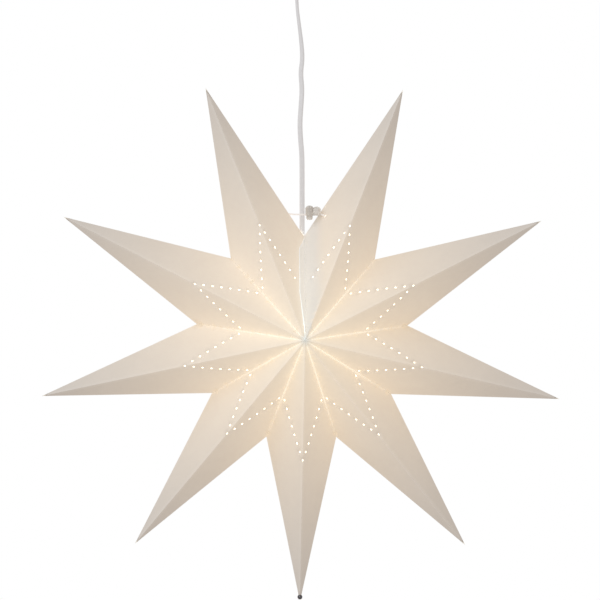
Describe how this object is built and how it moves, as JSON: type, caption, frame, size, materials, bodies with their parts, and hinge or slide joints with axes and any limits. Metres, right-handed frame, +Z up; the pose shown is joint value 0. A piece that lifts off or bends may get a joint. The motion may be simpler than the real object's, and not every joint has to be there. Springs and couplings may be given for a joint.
{
  "type": "folded paper star pendant lamp",
  "caption": "White folded paper star shade, lit from inside by a small screw-in lamp, hanging from a ceiling cup on a thin flat cord, its seam held shut by a tie with a press-button lock.",
  "frame": {"origin": "on the ceiling, at the middle of the bracket's top face, straight above the cord", "axes": "+Z up, out of the lamp into the ceiling; -Y is the star's front, towards the viewer; +X to the viewer's right"},
  "size_m": [0.5403, 0.1476, 0.7391],
  "materials": {
    "paper": "uncoated white card, faint fibre",
    "tie": "thin white braided string",
    "cord": "white flexible insulation, satin",
    "core_insulation": "thin insulation",
    "lock_clear": "clear moulded",
    "spring_steel": "drawn wire",
    "bead_steel": "dark polished",
    "zinc_steel": "zinc plated",
    "white_plastic": "fine satin moulded",
    "white_gloss": "gloss moulded",
    "holder_plastic": "semi-gloss thermoset",
    "insert_plastic": "thin glaze",
    "block_plastic": "translucent white",
    "brass": "bright",
    "nickel": "nickel plated",
    "bulb_glass_black": "black insulator with solder tip",
    "bulb_opal": "opal, lit",
    "board": "white solder mask, lit"
  },
  "bodies": {
    "ceiling": {"ceiling_bridge": "zinc_steel", "ceiling_cup": "white_plastic", "cup_screws": "zinc_steel", "gland": "white_gloss", "gland_nut": "zinc_steel", "gland_screw": "white_gloss", "terminal_block": "block_plastic", "block_screws": "brass", "cord_stub": "cord", "cord_cores": "core_insulation"},
    "neck": {"cord_neck": "cord"},
    "cord": {"hanging_cord": "cord"},
    "star": {"point_1": "paper", "point_2": "paper", "point_3": "paper", "point_4": "paper", "point_5": "paper", "point_6": "paper", "point_7": "paper", "point_8": "paper", "point_9": "paper", "tip_bead": "bead_steel", "closing_tie": "tie", "cord_grip": "white_gloss", "grip_screw": "white_gloss", "holder_cap": "holder_plastic", "holder_skirt": "holder_plastic", "terminal_insert": "insert_plastic", "terminal_screws": "brass", "contact_sleeve": "brass", "centre_contact": "brass"},
    "lock": {"lock_body": "lock_clear", "lock_spring": "spring_steel"},
    "button": {"lock_button": "lock_clear"},
    "bulb": {"bulb_cap": "nickel", "bulb_contact": "bulb_glass_black", "bulb_collar": "white_plastic", "bulb_globe": "bulb_opal", "led_board": "board"}
  },
  "joints": [
    {"name": "swing_side", "type": "hinge", "parent": "ceiling", "child": "neck", "pos_m": [0, 0, -0.044], "axis": [0, 1, 0], "range_deg": [-15, 15]},
    {"name": "swing_front", "type": "hinge", "parent": "neck", "child": "cord", "pos_m": [0, 0, -0.068], "axis": [1, 0, 0], "range_deg": [-15, 15]},
    {"name": "star_swivel", "type": "hinge", "parent": "cord", "child": "star", "pos_m": [0, 0, -0.364], "axis": [0, 0, 1], "range_deg": [-180, 180]},
    {"name": "lock_slide", "type": "slide", "parent": "star", "child": "lock", "axis": [1, 0, 0], "range_m": [-0.004, 0]},
    {"name": "lock_press", "type": "slide", "parent": "lock", "child": "button", "axis": [0, 0, 1], "range_m": [0, 0.002], "stiffness_N_per_m": 300, "springref_m": -0.003, "deforming": ["lock_spring"]},
    {"name": "bulb_turn", "type": "hinge", "parent": "star", "child": "bulb", "pos_m": [0, 0, -0.434], "axis": [0, 0, -1], "range_deg": [0, 1080]}
  ]
}
